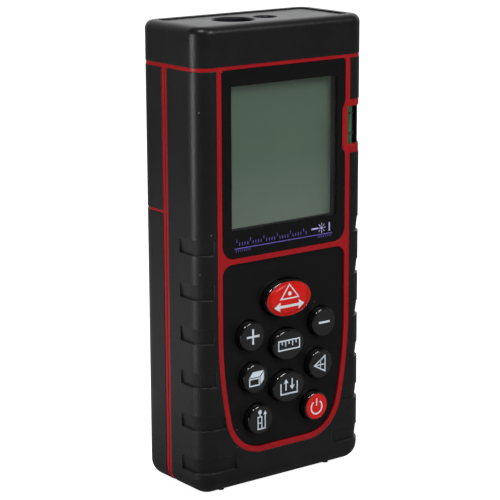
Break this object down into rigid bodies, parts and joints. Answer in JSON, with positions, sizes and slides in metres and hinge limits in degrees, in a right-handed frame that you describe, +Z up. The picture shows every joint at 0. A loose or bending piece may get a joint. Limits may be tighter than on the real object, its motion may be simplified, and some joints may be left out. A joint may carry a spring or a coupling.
{
  "type": "laser distance meter",
  "caption": "Hand-held laser distance meter with a display, round keys, a side spirit vial, ribbed rubber grip and a removable battery door.",
  "frame": {"origin": "centre of the footprint, on the plane of the four feet under the base", "axes": "+Z up the body to the end the beam leaves, -Y out of the display and keys, +X to the right seen from the front"},
  "size_m": [0.05, 0.026, 0.113],
  "materials": {
    "red_abs": "red moulded ABS, fine satin",
    "armour": "black soft thermoplastic rubber, matt",
    "black_gloss": "black, polished",
    "black_matt": "black, moulded",
    "window_clear": "clear hard-coated pane",
    "mask_ink": "black ink printed behind the pane",
    "gasket_foam": "dark closed-cell foam",
    "lcd": "grey-green reflective liquid crystal cell",
    "white_plastic": "white diffusing plastic",
    "key_black": "black silicone, satin",
    "key_red": "red silicone, satin",
    "silicone": "grey translucent silicone",
    "dome_steel": "stainless snap domes",
    "board": "green glass-epoxy board",
    "chip": "black epoxy package",
    "buzzer_case": "black buzzer case",
    "screw_steel": "zinc plated steel",
    "lens_glass": "coated optical glass",
    "optic_black": "black filled plastic",
    "brass_barrel": "turned brass",
    "shield": "tinned steel can",
    "detector": "metal can detector",
    "cell": "printed metal sleeve, plain",
    "contact": "nickel plated steel",
    "label": "silver-grey polyester label, plain",
    "vial_clear": "clear acrylic tube",
    "vial_green": "green spirit",
    "vial_cap": "white end plug",
    "air": "air bubble"
  },
  "bodies": {
    "housing": {"backlight": "white_plastic", "battery_left": "cell", "battery_right": "cell", "battery_tray": "black_matt", "board_screws": "screw_steel", "buzzer": "buzzer_case", "case_screws": "screw_steel", "collimator_lens": "lens_glass", "contact_bridge": "contact", "contact_left": "contact", "contact_right": "contact", "display_window": "window_clear", "end_cap": "armour", "end_plate": "black_gloss", "front_grip": "armour", "front_shell": "red_abs", "key_domes": "dome_steel", "keypad_mat": "silicone", "keypad_plate": "black_matt", "laser_module": "brass_barrel", "laser_window": "lens_glass", "lcd_frame": "white_plastic", "lcd_glass": "lcd", "lens_ring": "optic_black", "main_board": "board", "memory_chip": "chip", "optics_block": "optic_black", "photodiode": "detector", "processor_chip": "chip", "rating_label": "label", "rear_grip": "armour", "rear_shell": "red_abs", "receiver_lens": "lens_glass", "receiver_shield": "shield", "regulator_chip": "chip", "spring_left": "contact", "spring_right": "contact", "vial_caps": "vial_cap", "vial_holder": "black_matt", "vial_liquid": "vial_green", "vial_tube": "vial_clear", "window_gasket": "gasket_foam", "window_mask": "mask_ink"},
    "read_key": {"key_read": "key_black", "cap_read": "key_red"},
    "plus_key": {"key_plus": "key_black"},
    "minus_key": {"key_minus": "key_black"},
    "unit_key": {"key_unit": "key_black"},
    "volume_key": {"key_volume": "key_black"},
    "triangle_key": {"key_triangle": "key_black"},
    "memory_key": {"key_memory": "key_black"},
    "reference_key": {"key_reference": "key_black"},
    "off_key": {"key_off": "key_black", "cap_off": "key_red"},
    "door": {"battery_door": "armour"},
    "vial_bubble": {"bubble": "air"}
  },
  "joints": [
    {"name": "read_press", "type": "slide", "parent": "housing", "child": "read_key", "axis": [0, 1, 0], "range_m": [0, 0.0006], "stiffness_N_per_m": 1500},
    {"name": "plus_press", "type": "slide", "parent": "housing", "child": "plus_key", "axis": [0, 1, 0], "range_m": [0, 0.0006], "stiffness_N_per_m": 1500},
    {"name": "minus_press", "type": "slide", "parent": "housing", "child": "minus_key", "axis": [0, 1, 0], "range_m": [0, 0.0006], "stiffness_N_per_m": 1500},
    {"name": "unit_press", "type": "slide", "parent": "housing", "child": "unit_key", "axis": [0, 1, 0], "range_m": [0, 0.0006], "stiffness_N_per_m": 1500},
    {"name": "volume_press", "type": "slide", "parent": "housing", "child": "volume_key", "axis": [0, 1, 0], "range_m": [0, 0.0006], "stiffness_N_per_m": 1500},
    {"name": "triangle_press", "type": "slide", "parent": "housing", "child": "triangle_key", "axis": [0, 1, 0], "range_m": [0, 0.0006], "stiffness_N_per_m": 1500},
    {"name": "memory_press", "type": "slide", "parent": "housing", "child": "memory_key", "axis": [0, 1, 0], "range_m": [0, 0.0006], "stiffness_N_per_m": 1500},
    {"name": "reference_press", "type": "slide", "parent": "housing", "child": "reference_key", "axis": [0, 1, 0], "range_m": [0, 0.0006], "stiffness_N_per_m": 1500},
    {"name": "off_press", "type": "slide", "parent": "housing", "child": "off_key", "axis": [0, 1, 0], "range_m": [0, 0.0006], "stiffness_N_per_m": 1500},
    {"name": "door_off", "type": "slide", "parent": "housing", "child": "door", "axis": [0, 1, 0], "range_m": [0, 0.03]},
    {"name": "bubble_float", "type": "slide", "parent": "housing", "child": "vial_bubble", "axis": [0, 0, 1], "range_m": [-0.0108, 0], "stiffness_N_per_m": 0.5, "springref_m": 0.002}
  ]
}
